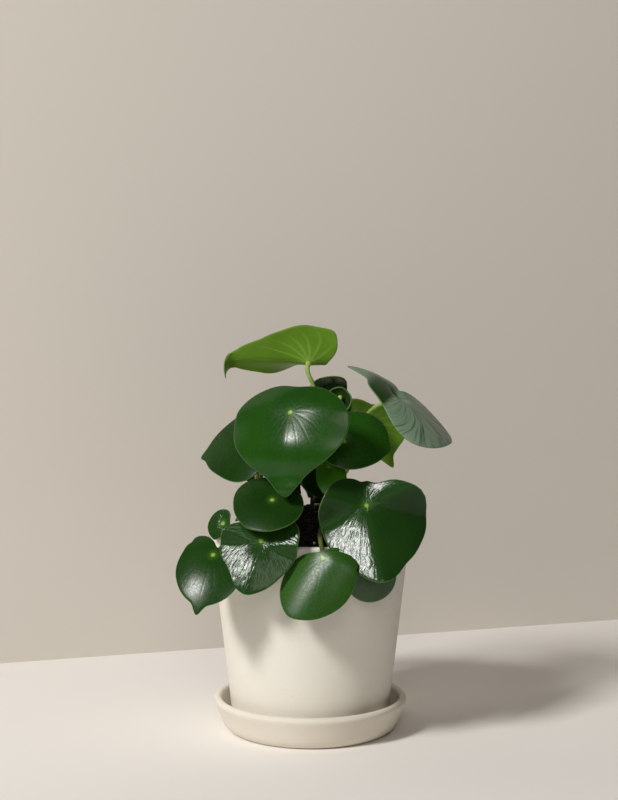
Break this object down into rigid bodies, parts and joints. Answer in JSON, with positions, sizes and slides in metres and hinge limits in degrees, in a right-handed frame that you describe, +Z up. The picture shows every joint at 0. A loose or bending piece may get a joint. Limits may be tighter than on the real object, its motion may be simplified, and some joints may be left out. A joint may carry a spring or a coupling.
{
  "type": "potted raindrop peperomia",
  "caption": "Leafy houseplant with round glossy raindrop-shaped leaves on slender petioles, rooted in soil in a tapered ceramic pot that stands on a shallow saucer.",
  "frame": {"origin": "centre of the saucer's flat underside, on the table", "axes": "+Z up along the pot's axis; -Y towards the viewer, the side that most leaves face; +X to the viewer's right"},
  "size_m": [0.1705, 0.1647, 0.2585],
  "materials": {
    "saucer_ceramic": "matte",
    "pot_ceramic": "satin",
    "potting_soil": "matte",
    "stem_skin": "satin",
    "leaf_green": "gloss",
    "young_leaf_green": "satin"
  },
  "bodies": {
    "root": {"saucer": "saucer_ceramic", "pot": "pot_ceramic", "soil": "potting_soil", "stem_1": "stem_skin", "stem_2": "stem_skin", "stem_3": "stem_skin", "stem_4": "stem_skin", "leaf_01": "young_leaf_green", "leaf_02": "leaf_green", "leaf_03": "leaf_green", "leaf_04": "leaf_green", "leaf_05": "leaf_green", "leaf_06": "leaf_green", "leaf_07": "leaf_green", "leaf_08": "young_leaf_green", "leaf_09": "leaf_green", "leaf_10": "leaf_green", "leaf_11": "leaf_green", "leaf_12": "young_leaf_green", "leaf_13": "leaf_green", "leaf_14": "young_leaf_green", "leaf_15": "leaf_green", "leaf_16": "leaf_green", "leaf_17": "leaf_green", "leaf_18": "leaf_green", "leaf_19": "leaf_green", "leaf_20": "leaf_green", "leaf_21": "leaf_green", "leaf_22": "leaf_green", "leaf_23": "leaf_green", "leaf_24": "leaf_green", "leaf_25": "leaf_green"}
  },
  "joints": []
}
